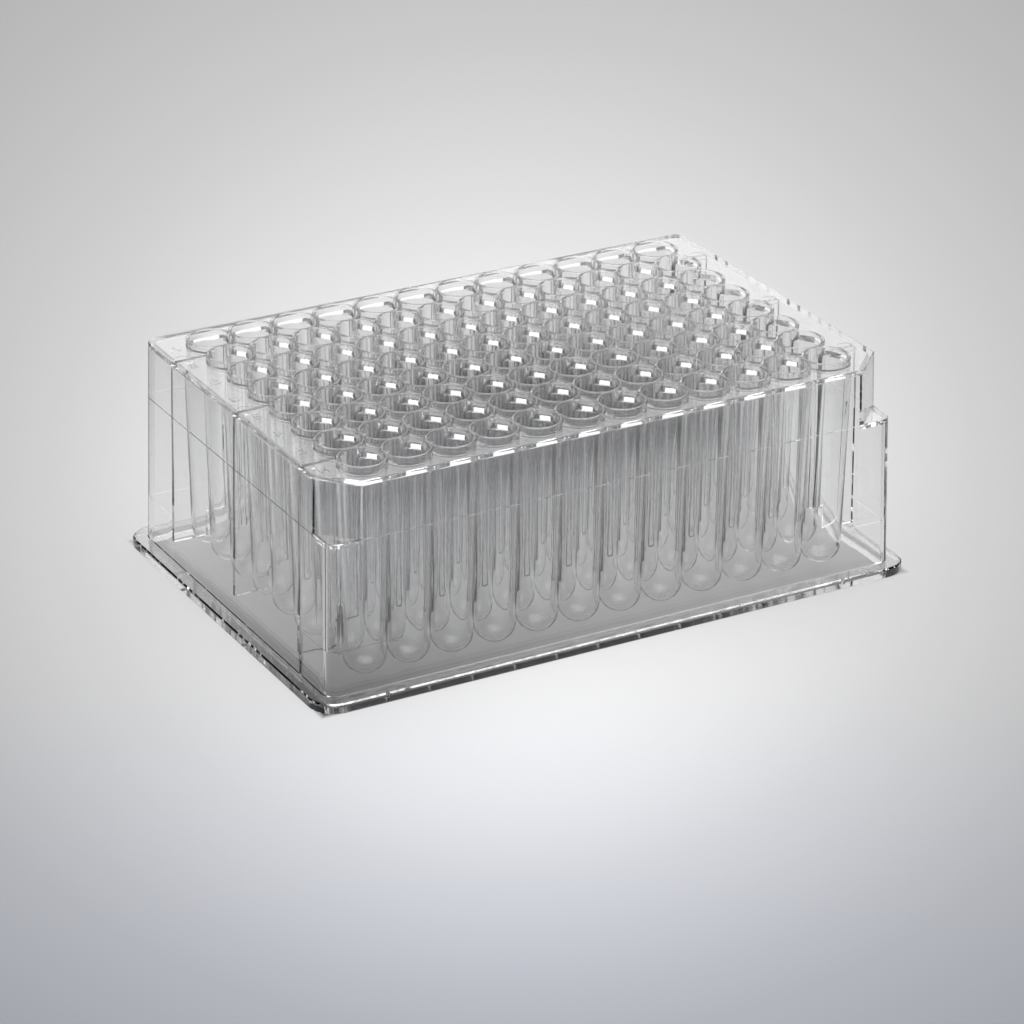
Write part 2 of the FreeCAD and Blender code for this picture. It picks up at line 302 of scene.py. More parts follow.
class Surface:
    """Collects grids of points and joins them into one closed mesh."""

    def __init__(self):
        self.points = []
        self.quads = []
        self.count = 0

    def add_grid(self, grid, turned=False):
        """Faces between the points of a grid, rows by columns by 3. They face along row times column."""
        rows, columns = grid.shape[:2]
        index = np.arange(rows * columns).reshape(rows, columns) + self.count
        corners = [index[:-1, :-1], index[1:, :-1], index[1:, 1:], index[:-1, 1:]]
        quads = np.stack(corners, axis=-1).reshape(-1, 4)
        self.points.append(grid.reshape(-1, 3))
        self.quads.append(quads[:, ::-1] if turned else quads)
        self.count += rows * columns

    def to_mesh(self, name):
        """One mesh: points that meet become one, and a face that lost a side keeps the other three."""
        points = np.concatenate(self.points)
        quads = np.concatenate(self.quads)
        keys = np.round(points / SAME_POINT + ROUNDING_SHIFT).astype(np.int64)
        _, first, single = np.unique(keys, axis=0, return_index=True, return_inverse=True)
        quads = single.reshape(-1)[quads]
        repeats = quads == np.roll(quads, -1, axis=1)
        squares = quads[~repeats.any(axis=1)]
        pinched = repeats.sum(axis=1) == 1
        triangles = quads[pinched][~repeats[pinched]].reshape(-1, 3)
        mesh = bpy.data.meshes.new(name)
        mesh.from_pydata(points[first].tolist(), [], squares.tolist() + triangles.tolist())
        mesh.validate()
        return mesh


def straight(start, end, steps):
    """Evenly spaced numbers from start to end, both kept, on the last axis."""
    share = np.linspace(0.0, 1.0, steps + 1)
    return np.asarray(start)[..., None] * (1 - share) + np.asarray(end)[..., None] * share


def polar(radius, turn, level):
    """Points at a radius and a turn from the axis of a tube, at a level."""
    radius, turn, level = np.broadcast_arrays(radius, turn, level)
    return np.stack([radius * np.cos(turn), radius * np.sin(turn), level], axis=-1)


def rounded_bottom(radius, shoulder, bottom):
    """Radii and levels of a half ellipse from the pole at the bottom up to the shoulder."""
    turn = np.linspace(0.0, math.pi / 2, BOTTOM_RINGS + 1)
    return radius * np.sin(turn), shoulder - (shoulder - bottom) * np.cos(turn)


def tube_radius(size, level):
    """Outside radius of a tube above the webs' end: it widens evenly up to the rim."""
    deck = size.rim_level - size.rim_height
    share = (level - size.web_level) / (deck - size.web_level)
    return size.web_radius + (size.rim_radius - size.web_radius) * share


def join_turn(size, radius, half_web):
    """The turn at which a tube runs into its web, or into the next tube where the two circles cross."""
    half = size.pitch / 2
    rise = math.sqrt(max(radius * radius - half * half, 0.0))
    return math.atan(max(half_web, rise) / half)


def bend_turn(radius, start, half_web):
    """The turn at which a web's side meets the round of its tube, a little past the start."""
    return max(math.asin(half_web / radius), start + LEAST_BEND)


def border(half, across, start_turn, joined):
    """Points of a cell's border in one eighth, from the middle of a side or from the join to the corner."""
    start = half * math.tan(start_turn) if joined else 0.0
    steps = ARC_STEPS if joined else EIGHTH_STEPS
    along = straight(start, across, steps)
    return np.stack([np.full_like(along, half), along], axis=-1)


def level_points(points, level):
    """Points in the plane, raised to a level."""
    return np.concatenate([points, np.full(points.shape[:-1] + (1,), level)], axis=-1)


def upper_eighth(size, half, across, joined):
    """One eighth of the upper sheet about a well: its inside, its rim, and the deck or pit beyond the rim."""
    rim, deck, edge = size.rim_level, size.rim_level - size.rim_height, size.edge_break
    corner = math.pi / 4
    crest = size.rim_radius - edge
    crest_turn = join_turn(size, crest, 0.0) if joined else corner * JOIN_STEPS / EIGHTH_STEPS
    side_turn = join_turn(size, size.rim_radius, 0.0) if joined else 0.0
    to_crest = straight(0.0, crest_turn, JOIN_STEPS)[:-1]
    turns = np.concatenate([to_crest, straight(crest_turn, corner, ARC_STEPS)])

    radii, levels = rounded_bottom(size.well_shoulder_radius, size.well_shoulder_level, size.floor_level)
    radii = np.append(radii, [size.mouth_radius, size.mouth_radius + edge])
    levels = np.append(levels, [rim - edge, rim])
    inside = polar(radii[:, None], turns[None, :], levels[:, None])

    if not joined:
        rings = [inside[-1], polar(crest, turns, rim), polar(size.rim_radius, turns, rim - edge)]
        rings += [polar(size.rim_radius, turns, deck), level_points(border(half, across, 0.0, False), deck)]
        return [inside, np.stack(rings)]

    reach = np.minimum(crest, half / np.cos(turns))
    top = np.stack([inside[-1], polar(reach, turns, rim)])
    arc = straight(side_turn, corner, ARC_STEPS)
    rings = [top[-1][JOIN_STEPS:], polar(size.rim_radius, arc, rim - edge), polar(size.rim_radius, arc, deck)]
    rings.append(level_points(border(half, across, side_turn, True), deck))
    return [inside, top, np.stack(rings)]


def lower_eighth(size, half, across, joined):
    """One eighth of the lower sheet about a tube: its rounded end, its outside, and the ceiling beyond it."""
    ceiling = size.rim_level - size.rim_height - size.wall
    corner = math.pi / 4
    half_web = size.web_width / 2
    foot_turn = join_turn(size, size.web_radius, half_web) if joined else corner / EIGHTH_STEPS
    bend = bend_turn(size.web_radius, foot_turn, half_web) if joined else 2 * corner / EIGHTH_STEPS
    turns = np.concatenate([[0.0, foot_turn], straight(bend, corner, ARC_STEPS)])

    radii, levels = rounded_bottom(size.tube_shoulder_radius, size.tube_shoulder_level, size.tube_end_level)
    radii, levels = np.append(radii, size.web_radius), np.append(levels, size.web_level)
    free = polar(radii[:, None], turns[None, :], levels[:, None])

    middle = MIDDLE_RING * ceiling + (1 - MIDDLE_RING) * size.web_level
    rising = np.array([size.web_level, middle, ceiling - size.edge_break, ceiling])
    widths = tube_radius(size, rising)
    widths[-1] += size.edge_break
    if not joined:
        wall = polar(widths[:, None], turns[None, :], rising[:, None])
        beyond = level_points(border(half, across, 0.0, False), ceiling)
        return [free, np.concatenate([wall, beyond[None]])]

    rows = []
    for radius, level in zip(widths, rising):
        start = join_turn(size, radius, half_web)
        arc = np.concatenate([[start], straight(bend_turn(radius, start, half_web), corner, ARC_STEPS)])
        web = half_web / np.sin(arc)
        rows.append(polar(np.minimum(half / np.cos(arc), np.maximum(radius, web)), arc, level))
    side = rows[-1][0][1]
    edge = np.concatenate([[side], straight(side + (across - side) / EIGHTH_STEPS, across, ARC_STEPS)])
    rows.append(level_points(np.stack([np.full_like(edge, half), edge], axis=-1), ceiling))
    web_middle = [half, 0.0, size.web_level]
    web_end = np.array([[free[-1][0], free[-1][1], free[-1][2]], [web_middle, rows[0][0], rows[0][1]]])
    return [free, web_end, np.stack(rows)]


def cell_sides(size, column, row, collar):
    """For a cell's sides +X, +Y, -X and -Y: its half size, and whether the next tube joins it."""
    joined = (column < size.columns - 1, row < size.rows - 1, column > 0, row > 0)
    return [(size.pitch / 2 if side else collar, side) for side in joined]


def add_cells(surface, size, eighth, collar, downward):
    """A sheet over all the cells. Each eighth of a cell is a pattern, turned and mirrored into its place."""
    patterns = {}
    axes = np.array([[1.0, 0.0], [0.0, 1.0], [-1.0, 0.0], [0.0, -1.0]])
    for column in range(size.columns):
        for row in range(size.rows):
            centre = well_centre(size, column, row)
            sides = cell_sides(size, column, row, collar)
            for side in range(4):
                for step in (1, -1):
                    half, joined = sides[side]
                    across = sides[(side + step) % 4][0]
                    key = (half, across, joined)
                    if key not in patterns:
                        patterns[key] = eighth(size, *key)
                    along, beside = axes[side], axes[(side + step) % 4]
                    for grid in patterns[key]:
                        placed = np.empty_like(grid)
                        placed[..., :2] = centre + grid[..., :1] * along + grid[..., 1:2] * beside
                        placed[..., 2] = grid[..., 2]
                        surface.add_grid(placed, turned=(step < 0) != downward)


def well_centre(size, column, row):
    """The middle of a well in the plane."""
    x = (column - (size.columns - 1) / 2) * size.pitch
    y = (row - (size.rows - 1) / 2) * size.pitch
    return np.array([x, y])


def side_shares(count, pitch, collar):
    """Where the cells' border points lie along one side of the collar, from -1 to 1."""
    half_pitch = pitch / 2
    ends = straight(0.0, collar, EIGHTH_STEPS)
    step = straight(0.0, half_pitch, EIGHTH_STEPS)
    first = -(count - 1) * half_pitch
    pieces = [first - ends[:0:-1]]
    pieces += [first + half_pitch * i + step[:-1] for i in range(2 * (count - 1))]
    pieces.append(-first + ends)
    places = np.concatenate(pieces)
    return places / places[-1]


def corner_path(half_x, half_y, radius, run, cut):
    """A corner of a level outline at +X +Y, seen from above and going round to the left.

    It is a straight run, a quarter circle and a straight run, or one straight cut across the corner.
    """
    if cut:
        share = np.linspace(0.0, 1.0, CORNER_STEPS + 1)
        return np.stack([half_x - run * share, half_y - run * (1 - share)], axis=-1)
    turn = np.linspace(0.0, math.pi / 2, CORNER_ARC_STEPS + 1)
    bend_x, bend_y = half_x - radius, half_y - radius
    arc = np.stack([bend_x + radius * np.cos(turn), bend_y + radius * np.sin(turn)], axis=-1)
    up = straight(half_y - run, bend_y, CORNER_RUN_STEPS)[:-1]
    back = straight(bend_x, half_x - run, CORNER_RUN_STEPS)[1:]
    first = np.stack([np.full_like(up, half_x), up], axis=-1)
    last = np.stack([back, np.full_like(back, half_y)], axis=-1)
    return np.concatenate([first, arc, last])


def level_outline(shares, half_x, half_y, radius, run, cut_front=False):
    """A closed level outline, counterclockwise from the front left, with as many points at every level."""
    shares_x, shares_y = shares
    back = corner_path(half_x, half_y, radius, run, False)
    front = corner_path(half_x, half_y, radius, run, cut_front)
    straight_x, straight_y = shares_x * (half_x - run), shares_y * (half_y - run)
    mirror_x, mirror_y = np.array([-1.0, 1.0]), np.array([1.0, -1.0])
    parts = [
        np.stack([straight_x, np.full_like(straight_x, -half_y)], axis=-1)[:-1],
        (front * mirror_y)[::-1][:-1],
        np.stack([np.full_like(straight_y, half_x), straight_y], axis=-1)[:-1],
        back[:-1],
        np.stack([-straight_x, np.full_like(straight_x, half_y)], axis=-1)[:-1],
        (back * mirror_x)[::-1][:-1],
        np.stack([np.full_like(straight_y, -half_x), -straight_y], axis=-1)[:-1],
        (front * mirror_x * mirror_y)[:-1],
    ]
    outline = np.concatenate(parts)
    return np.concatenate([outline, outline[:1]])


def collar_outline(size, shares, collar):
    """The sheets' outer border, with each corner point repeated for every step of the casing's corner."""
    half_x = (size.columns - 1) * size.pitch / 2 + collar
    half_y = (size.rows - 1) * size.pitch / 2 + collar
    return level_outline(shares, half_x, half_y, 0.0, 0.0)


def add_casing(surface, size, collar):
    """The deck's border, the skirt, the flange and their insides: one profile carried round the plate.

    Every ring of the profile has the same number of points, and the rings follow each other outwards over the
    deck, down the outside, under the flange, up the inside and in along the underside of the deck. The edge
    break of the ledges under the notches runs right round, so it shows as a fine groove between them.
    """
    shares = (side_shares(size.columns, size.pitch, collar), side_shares(size.rows, size.pitch, collar))
    deck = size.rim_level - size.rim_height
    ceiling = deck - size.wall
    lean = math.tan(size.draft)
    edge = size.edge_break
    skirt_x, skirt_y = size.foot_length / 2 - size.flange_reach, size.foot_width / 2 - size.flange_reach

    def skirt(level, inset, notched):
        """The skirt's outline at a level, moved inwards by an inset."""
        gone = level * lean + inset
        leg = size.notch_leg - (2 - math.sqrt(2)) * inset
        radius = max(size.skirt_corner - inset, 2 * edge)
        outline = level_outline(shares, skirt_x - gone, skirt_y - gone, radius, leg, notched)
        return level_points(outline, level)

    def flange(level, inset):
        """The flange's outline at a level."""
        half_x, half_y = size.foot_length / 2 - inset, size.foot_width / 2 - inset
        outline = level_outline(shares, half_x, half_y, size.flange_corner - inset, size.notch_leg)
        return level_points(outline, level)

    def recessed(level):
        """The inside of the skirt below the webs' end, moved outwards near the corners."""
        ring = skirt(level, size.wall, False)
        wide = skirt(level, size.wall - size.recess, False)
        end_x = (size.columns - 2) * size.pitch / 2
        end_y = size.rib_spacing + size.rib_thickness
        near = (np.abs(ring[:, 0]) > end_x) & (np.abs(ring[:, 1]) > end_y)
        ring[near] = wide[near]
        return ring

    ledge, inner_ledge = size.ledge_level, size.ledge_level - size.wall
    border_points = collar_outline(size, shares, collar)
    rings = [
        level_points(border_points, deck),
        skirt(deck, edge, True),
        skirt(deck - edge, 0.0, True),
        skirt(ledge, 0.0, True),
        skirt(ledge, edge, False),
        skirt(ledge - edge, 0.0, False),
        skirt(size.flange_height + edge, 0.0, False),
        skirt(size.flange_height, -edge, False),
        flange(size.flange_height, 2 * edge),
        flange(size.flange_height - 2 * edge, 0.0),
        flange(edge, 0.0),
        flange(0.0, edge),
        recessed(0.0),
        recessed(size.web_level),
        skirt(size.web_level, size.wall, False),
        skirt(inner_ledge, size.wall, False),
        skirt(inner_ledge, size.wall, True),
        skirt(ceiling - edge, size.wall, True),
        skirt(ceiling, size.wall + edge, True),
        level_points(border_points, ceiling),
    ]
    surface.add_grid(np.stack(rings))


def add_ribs(size):
    """The upright ribs at both ends, three each, as closed boxes that run from the skirt to the webs."""
    surface = Surface()
    deck = size.rim_level - size.rim_height
    lean = math.tan(size.draft)
    half_x = size.foot_length / 2 - size.flange_reach
    last_well = (size.columns - 1) * size.pitch / 2
    foot, top = size.rib_foot_level, deck - size.wall / 2
    beside_tube = size.pitch / 2 - size.rib_thickness
    tube_side = last_well + math.sqrt(size.web_radius**2 - beside_tube**2) + RIB_CLEARANCE
    for end in (1, -1):
        for place in (-1, 0, 1):
            y = place * size.rib_spacing
            wall_foot = half_x - foot * lean - size.wall / 2
            wall_top = half_x - top * lean - size.wall / 2
            profile = [
                (wall_foot, foot),
                (wall_top, top),
                (last_well, top),
                (last_well, size.web_level),
                (tube_side, size.web_level),
                (tube_side, foot),
            ]
            add_slab(surface, [(end * x, z) for x, z in profile], y, size.rib_thickness, end < 0)
    return surface


def add_slab(surface, profile, y, thickness, turned):
    """A flat slab: an upright outline in X and Z with a thickness along Y, its faces strips to its middle."""
    outline = np.array(profile + profile[:1])
    middle = outline[:-1].mean(axis=0)
    rings = []
    for place, side in ((middle, -0.5), (outline, -0.5), (outline, 0.5), (middle, 0.5)):
        flat = np.broadcast_to(place, outline.shape)
        rings.append(np.stack([flat[:, 0], np.full(len(outline), y + side * thickness), flat[:, 1]], axis=-1))
    surface.add_grid(np.stack(rings), turned=turned)


def add_drum(surface, centre, radius, top, bottom):
    """An upright closed drum: a circle at the top and one at the bottom, each closed to its middle."""
    turn = np.linspace(0.0, 2 * math.pi, DRUM_SIDES + 1)
    rings = []
    for reach, level in ((0.0, top), (radius, top), (radius, bottom), (0.0, bottom)):
        rings.append(polar(reach, turn, level) + np.array([centre[0], centre[1], 0.0]))
    surface.add_grid(np.stack(rings))


def end_marks(size):
    """The ejector pads that hang from the deck at the ribs, and the gate marks along the front of it."""
    surface = Surface()
    deck = size.rim_level - size.rim_height
    ceiling = deck - size.wall
    end_x = (size.columns - 1) * size.pitch / 2
    skirt_x = size.foot_length / 2 - size.flange_reach - deck * math.tan(size.draft)
    middle = (end_x + size.rim_radius + skirt_x) / 2
    front = -(size.rows - 1) * size.pitch / 2 - size.rim_radius + size.gate_radius
    for place in (-1, 0, 1):
        along = place * size.rib_spacing
        for end in (1, -1):
            pad = (end * middle, along)
            add_drum(surface, pad, size.pad_radius, ceiling + SUNK, ceiling - size.pad_depth)
        add_drum(surface, (along, front), size.gate_radius, deck + size.mark_height, deck - SUNK)
    return surface


def dimples(size):
    """Small upright drums that cut pits into the rim of the flange: two at the front and one at the left."""
    surface = Surface()
    reach_x, reach_y = size.foot_length / 2, size.foot_width / 2
    centres = [(x, -reach_y) for x in FRONT_DIMPLES] + [(-reach_x, LEFT_DIMPLE)]
    for centre in centres:
        add_drum(surface, centre, size.dimple_radius, size.flange_height + SUNK, size.flange_height / 2)
    return surface


def row_letters(size):
    """The row letters on the left end of the deck, A at the back, as closed raised solids."""
    end_x = (size.columns - 1) * size.pitch / 2
    deck = size.rim_level - size.rim_height
    skirt_x = size.foot_length / 2 - size.flange_reach - deck * math.tan(size.draft)
    middle = -(end_x + size.rim_radius + skirt_x) / 2
    meshes = []
    for row in range(size.rows):
        font = bpy.data.curves.new("letter", "FONT")
        font.body = chr(ord("A") + size.rows - 1 - row)
        font.size = size.letter_size
        font.align_x, font.align_y = "CENTER", "CENTER"
        font.resolution_u = 3
        font.extrude = (size.mark_height + SUNK) / 2
        item = new_object("letter", font)
        mesh = bpy.data.meshes.new_from_object(item)
        bpy.data.objects.remove(item)
        centre = well_centre(size, 0, row)
        mesh.transform(Matrix.Translation((middle, centre[1], deck + (size.mark_height - SUNK) / 2)))
        closed = bmesh.new()
        closed.from_mesh(mesh)
        bmesh.ops.remove_doubles(closed, verts=closed.verts, dist=SAME_POINT)
        bmesh.ops.recalc_face_normals(closed, faces=closed.faces)
        closed.to_mesh(mesh)
        closed.free()
        meshes.append(mesh)
    return meshes


# ----------------------------------------------------------------------------------------------------
# materials


class Shader:
    """A material's node tree, with one way to add a node."""

    def __init__(self, tree):
        tree.nodes.clear()
        self.tree = tree

    def node(self, kind, settings=None, sockets=None):
        """A node of a type, with its settings made first and then the values or links of its sockets."""
        node = self.tree.nodes.new(kind)
        for name, value in (settings or {}).items():
            if name == "stops":
                for stop, (place, colour) in zip(self.stops(node, len(value)), value):
                    stop.position, stop.color = place, colour
            else:
                setattr(node, name, value)
        for name, value in (sockets or {}).items():
            if isinstance(value, Value):
                value = value.socket
            if isinstance(value, bpy.types.NodeSocket):
                self.tree.links.new(value, node.inputs[name])
            else:
                node.inputs[name].default_value = value
        return node

    def stops(self, ramp, count):
        """A colour ramp's stops, as many as are asked for."""
        while len(ramp.color_ramp.elements) < count:
            ramp.color_ramp.elements.new(0.5)
        return list(ramp.color_ramp.elements)

    def value(self, node, output=0):
        """One of a node's outputs, ready for sums."""
        return Value(self, node.outputs[output])


class Value:
    """A socket that takes part in sums, which become Math nodes."""

    def __init__(self, shader, socket):
        self.shader = shader
        self.socket = socket

    def math(self, operation, first, second):
        """A Math node on two numbers or sockets."""
        node = self.shader.node("ShaderNodeMath", {"operation": operation}, {0: first, 1: second})
        return Value(self.shader, node.outputs[0])

    def __add__(self, other):
        return self.math("ADD", self, other)

    __radd__ = __add__

    def __mul__(self, other):
        return self.math("MULTIPLY", self, other)

    __rmul__ = __mul__

    def __sub__(self, other):
        return self.math("SUBTRACT", self, other)

    def __rsub__(self, other):
        return self.math("SUBTRACT", other, self)

    def __truediv__(self, other):
        return self.math("DIVIDE", self, other)

    def __pow__(self, other):
        return self.math("POWER", self, other)

    def size(self):
        """The value without its sign."""
        return self.math("ABSOLUTE", self, 0.0)

    def at_least(self, other):
        """The larger of this and another value."""
        return self.math("MAXIMUM", self, other)

    def at_most(self, other):
        """The smaller of this and another value."""
        return self.math("MINIMUM", self, other)


def new_material(name):
    """An empty node material and its shader builder."""
    material = bpy.data.materials.new(name)
    material.use_nodes = True
    return material, Shader(material.node_tree)


# The colour sockets of a Mix node, which share their names with its other sockets: two inputs and the output.
MIX_FIRST, MIX_SECOND, MIX_RESULT = 6, 7, 2


def mixed(shader, share, first, second, blend="MIX"):
    """A colour between two, by a share, or one times the other. Each is three numbers or a socket."""
    ends = [(*end, 1.0) if isinstance(end, tuple) else end for end in (first, second)]
    settings = {"data_type": "RGBA", "blend_type": blend}
    sockets = {"Factor": share, MIX_FIRST: ends[0], MIX_SECOND: ends[1]}
    return shader.node("ShaderNodeMix", settings, sockets).outputs[MIX_RESULT]


# The flow lines: waves to a metre along each axis, and how deep they look.
FLOW_SCALE = (900.0, 900.0, 45.0)
FLOW_STRENGTH = 0.03
FLOW_DEPTH = 0.00005

# The patches: waves to a metre, how much deeper their colour is, and how the milky top varies with them.
CLOUD_SCALE = 60.0
DEEPER = 0.985
LEAST_MILK = 0.6
MILK_SPREAD = 0.8

# How steeply the plastic darkens where it is looked along, which stands for the longer way through a wall.
GRAZING_POWER = 7.0

# Where the flange's side turns into its top, and over what length its painted shade fades.
FLANGE_TOP = 0.0018
FLANGE_SHADE_FADE = 0.0001


def within(value):
    """A value kept from 0 to 1."""
    return value.at_least(0.0).at_most(1.0)


def clear_plastic(look):
    """Clear moulded plastic: faint flow lines, deeper patches, a milkier top, darker edges where a wall is
    looked along, and painted shade on the flange's side.

    Rays that carry light to a shaded place pass straight through each wall and lose a little, so that the
    floor under the plate is lit. All others are bent and turned back.
    """
    material, shader = new_material("clear_plastic")
    place = shader.node("ShaderNodeTexCoord").outputs["Object"]
    flow_place = shader.node("ShaderNodeMapping", sockets={"Vector": place, "Scale": FLOW_SCALE})
    flow_sockets = {"Vector": flow_place.outputs[0], "Scale": 1.0, "Detail": 1.0}
    flow = shader.value(shader.node("ShaderNodeTexNoise", sockets=flow_sockets))
    cloud_sockets = {"Vector": place, "Scale": CLOUD_SCALE, "Detail": 2.0}
    clouds = shader.value(shader.node("ShaderNodeTexNoise", sockets=cloud_sockets))
    tint = tuple(look.tint)
    body = mixed(shader, clouds, tint, tuple(channel * DEEPER for channel in tint))
    parts = shader.node("ShaderNodeSeparateXYZ", sockets={0: place})
    x, y, z = (shader.value(parts, index).size() for index in range(3))
    # Painted shade: the flange's side, to a small depth, takes the darker edge colour.
    beyond = (x - FOOT_HIGH.x).at_least(y - FOOT_HIGH.y) + look.flange_shade_depth
    edge = within(beyond / FLANGE_SHADE_FADE) * within((FLANGE_TOP - z) / FLANGE_SHADE_FADE)
    body_and_flange_shade = mixed(shader, edge, body, tuple(look.edge))
    facing = shader.value(shader.node("ShaderNodeLayerWeight", sockets={"Blend": 0.5}), "Facing")
    colour = mixed(shader, facing**GRAZING_POWER, body_and_flange_shade, tuple(look.rim))
    top = within((z - FOOT_HIGH.z) / look.top_depth + 1.0)
    milk = look.haze + look.top_haze * top * (LEAST_MILK + MILK_SPREAD * clouds)
    bump_sockets = {"Height": flow, "Strength": FLOW_STRENGTH, "Distance": FLOW_DEPTH}
    bump = shader.node("ShaderNodeBump", sockets=bump_sockets)
    glass = shader.node(
        "ShaderNodeBsdfPrincipled",
        sockets={
            "Base Color": colour,
            "Roughness": 0.0,
            "IOR": 1.5,
            "Transmission Weight": 1.0 - look.haze,
            "Normal": bump.outputs[0],
        },
    )
    haze = shader.node("ShaderNodeBsdfTranslucent", sockets={"Color": (1.0, 1.0, 1.0, 1.0)})
    milky = shader.node("ShaderNodeMixShader", sockets={0: milk, 1: glass.outputs[0], 2: haze.outputs[0]})
    clear = shader.node("ShaderNodeBsdfTransparent", sockets={"Color": (*look.shade, 1.0)})
    path = shader.node("ShaderNodeLightPath")
    lit_through = shader.value(path, "Is Shadow Ray").at_least(shader.value(path, "Is Diffuse Ray"))
    surface_sockets = {0: lit_through, 1: milky.outputs[0], 2: clear.outputs[0]}
    surface = shader.node("ShaderNodeMixShader", sockets=surface_sockets)
    shader.node("ShaderNodeOutputMaterial", sockets={"Surface": surface.outputs[0]})
    return material


# The soft lamps over and behind the plate: name, width, power in watts, height in degrees, and distance.
SOFTBOXES = (("softbox_high", 3.2, 62.0, 84.0, 1.8), ("softbox_low", 1.5, 9.5, 22.0, 1.5))

# The even light from all round.
ROOM_LIGHT = 0.1

# How far the floor reaches each way, and the film of air between it and the flange, at which the light inside
# the flange turns back.
FLOOR_REACH = 2.5
FLOOR_GAP = 0.00008

# The least width of the painted pool of light. Where the paint starts to turn bluer, how far on it has, and
# how blue.
LEAST_SPREAD = 0.3
COOL_START = 0.05
COOL_FADE = 0.1
COOL_PAINT = (0.96, 0.985, 1.08)

# Light crosses dozens of clear walls on its way through the plate, and is turned back inside many of them.
MOST_BOUNCES = 24

# The pool of light painted on the floor, from its middle to where it has faded: how far out, and how pale the
# paint is.
GLOW = (
    (0.00, 0.90),
    (0.087, 0.89),
    (0.147, 0.80),
    (0.22, 0.68),
    (0.287, 0.57),
    (0.353, 0.495),
    (0.42, 0.43),
    (0.487, 0.38),
    (0.60, 0.33),
    (0.75, 0.28),
    (1.00, 0.06),
)


def floor_paint(look):
    """Matt floor with a painted pool of light round the plate, a painted shadow under it, and bluer towards
    the front.

    The distance from the middle of the pool is measured across the view and, shortened, along it, and is
    divided by a number that grows along the view, so the pool is egg-shaped. The painted shadow fills the
    footprint and is deepest at its front. All the paint is darker towards the back, for light that falls off.
    """
    material, shader = new_material("floor_paint")
    place = shader.node("ShaderNodeTexCoord").outputs["Object"]
    parts = shader.node("ShaderNodeSeparateXYZ", sockets={0: place})
    x, y = shader.value(parts, 0), shader.value(parts, 1)
    depth = x * math.cos(look.aim) + y * math.sin(look.aim)
    beside = y * math.cos(look.aim) - x * math.sin(look.aim)
    ahead = depth * look.glow_stretch
    spread = (1.0 + depth * look.glow_spread).at_least(LEAST_SPREAD)
    radius = ((beside * beside + ahead * ahead) ** 0.5) / spread
    # Painted pool of light: the floor's paint is palest in the middle and fades outwards.
    stops = [(far, (pale, pale, pale, 1.0)) for far, pale in GLOW]
    ramp = shader.node("ShaderNodeValToRGB", {"stops": stops}, {0: radius / look.glow_radius})
    # Painted shadow: darker paint inside the plate's footprint, deepest at its front; all the paint is also
    # darker towards the back, for light that falls off.
    foot_x, foot_y = FOOT_HIGH.x - look.shadow_edge, FOOT_HIGH.y - look.shadow_edge
    outside = (x.size() - foot_x).at_least(y.size() - foot_y) / look.shadow_edge
    inside = 1.0 - within(outside)
    nearness = within(0.5 - depth / look.shadow_length)
    shaded = (1.0 - look.shadow_depth * inside * nearness) / (1.0 + look.fall_off * depth)
    front = within((-1.0 * depth - COOL_START) / COOL_FADE)
    cool = mixed(shader, front, (1.0, 1.0, 1.0), COOL_PAINT)
    paint = mixed(shader, 1.0, ramp.outputs[0], cool, blend="MULTIPLY")
    shadow = shader.node("ShaderNodeVectorMath", {"operation": "SCALE"}, {0: paint, "Scale": shaded})
    surface = shader.node(
        "ShaderNodeBsdfPrincipled",
        sockets={"Base Color": shadow.outputs[0], "Roughness": 1.0, "Specular IOR Level": 0.0},
    )
    shader.node("ShaderNodeOutputMaterial", sockets={"Surface": surface.outputs[0]})
    return material


# ----------------------------------------------------------------------------------------------------
# pieces


def new_object(name, mesh, material=None):
    """An object at the origin that shows a mesh."""
    item = bpy.data.objects.new(name, mesh)
    bpy.context.scene.collection.objects.link(item)
    if material:
        mesh.materials.append(material)
    return item


def combine(item, meshes, operation):
    """Add closed meshes to an object's own, or cut them out of it, so that one skin is left."""
    tools = []
    for mesh in meshes:
        tools.append(new_object("tool", mesh))
        step = item.modifiers.new("step", "BOOLEAN")
        step.operation, step.solver, step.object = operation, "EXACT", tools[-1]
    shown = item.evaluated_get(bpy.context.evaluated_depsgraph_get())
    joined = bpy.data.meshes.new_from_object(shown)
    item.modifiers.clear()
    item.data = joined
    for tool in tools:
        bpy.data.objects.remove(tool)


def smooth_by_angle(mesh, angle):
    """Smooth faces, with an edge kept sharp where its faces turn by more than an angle."""
    mesh.polygons.foreach_set("use_smooth", np.ones(len(mesh.polygons), dtype=bool))
    mesh.set_sharp_from_angle(angle=angle)
    mesh.update()


def own(item):
    """Tie a piece of the plate to its body."""
    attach(item, BODY)
    return item


class PLATE_OT_moulding(bpy.types.Operator):
    """Make the clear moulding: deck, wells, tubes, webs, skirt, notches, flange, ribs and raised marks"""

    bl_idname = "plate.moulding"
    bl_label = "Clear moulding"

    def execute(self, context):
        size, look = context.scene.plate_sizes, context.scene.moulding_look
        collar = size.rim_radius + COLLAR_BREAKS * size.edge_break
        surface = Surface()
        add_cells(surface, size, upper_eighth, collar, downward=False)
        add_cells(surface, size, lower_eighth, collar, downward=True)
        add_casing(surface, size, collar)
        moulding = new_object("plate_moulding", surface.to_mesh("plate_moulding"))
        combine(moulding, [add_ribs(size).to_mesh("ribs"), end_marks(size).to_mesh("marks")], "UNION")
        combine(moulding, row_letters(size), "UNION")
        combine(moulding, [dimples(size).to_mesh("dimples")], "DIFFERENCE")
        moulding.data.materials.append(clear_plastic(look))
        smooth_by_angle(moulding.data, SHARP_ANGLE)
        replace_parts(own(moulding), NODE)
        return {"FINISHED"}


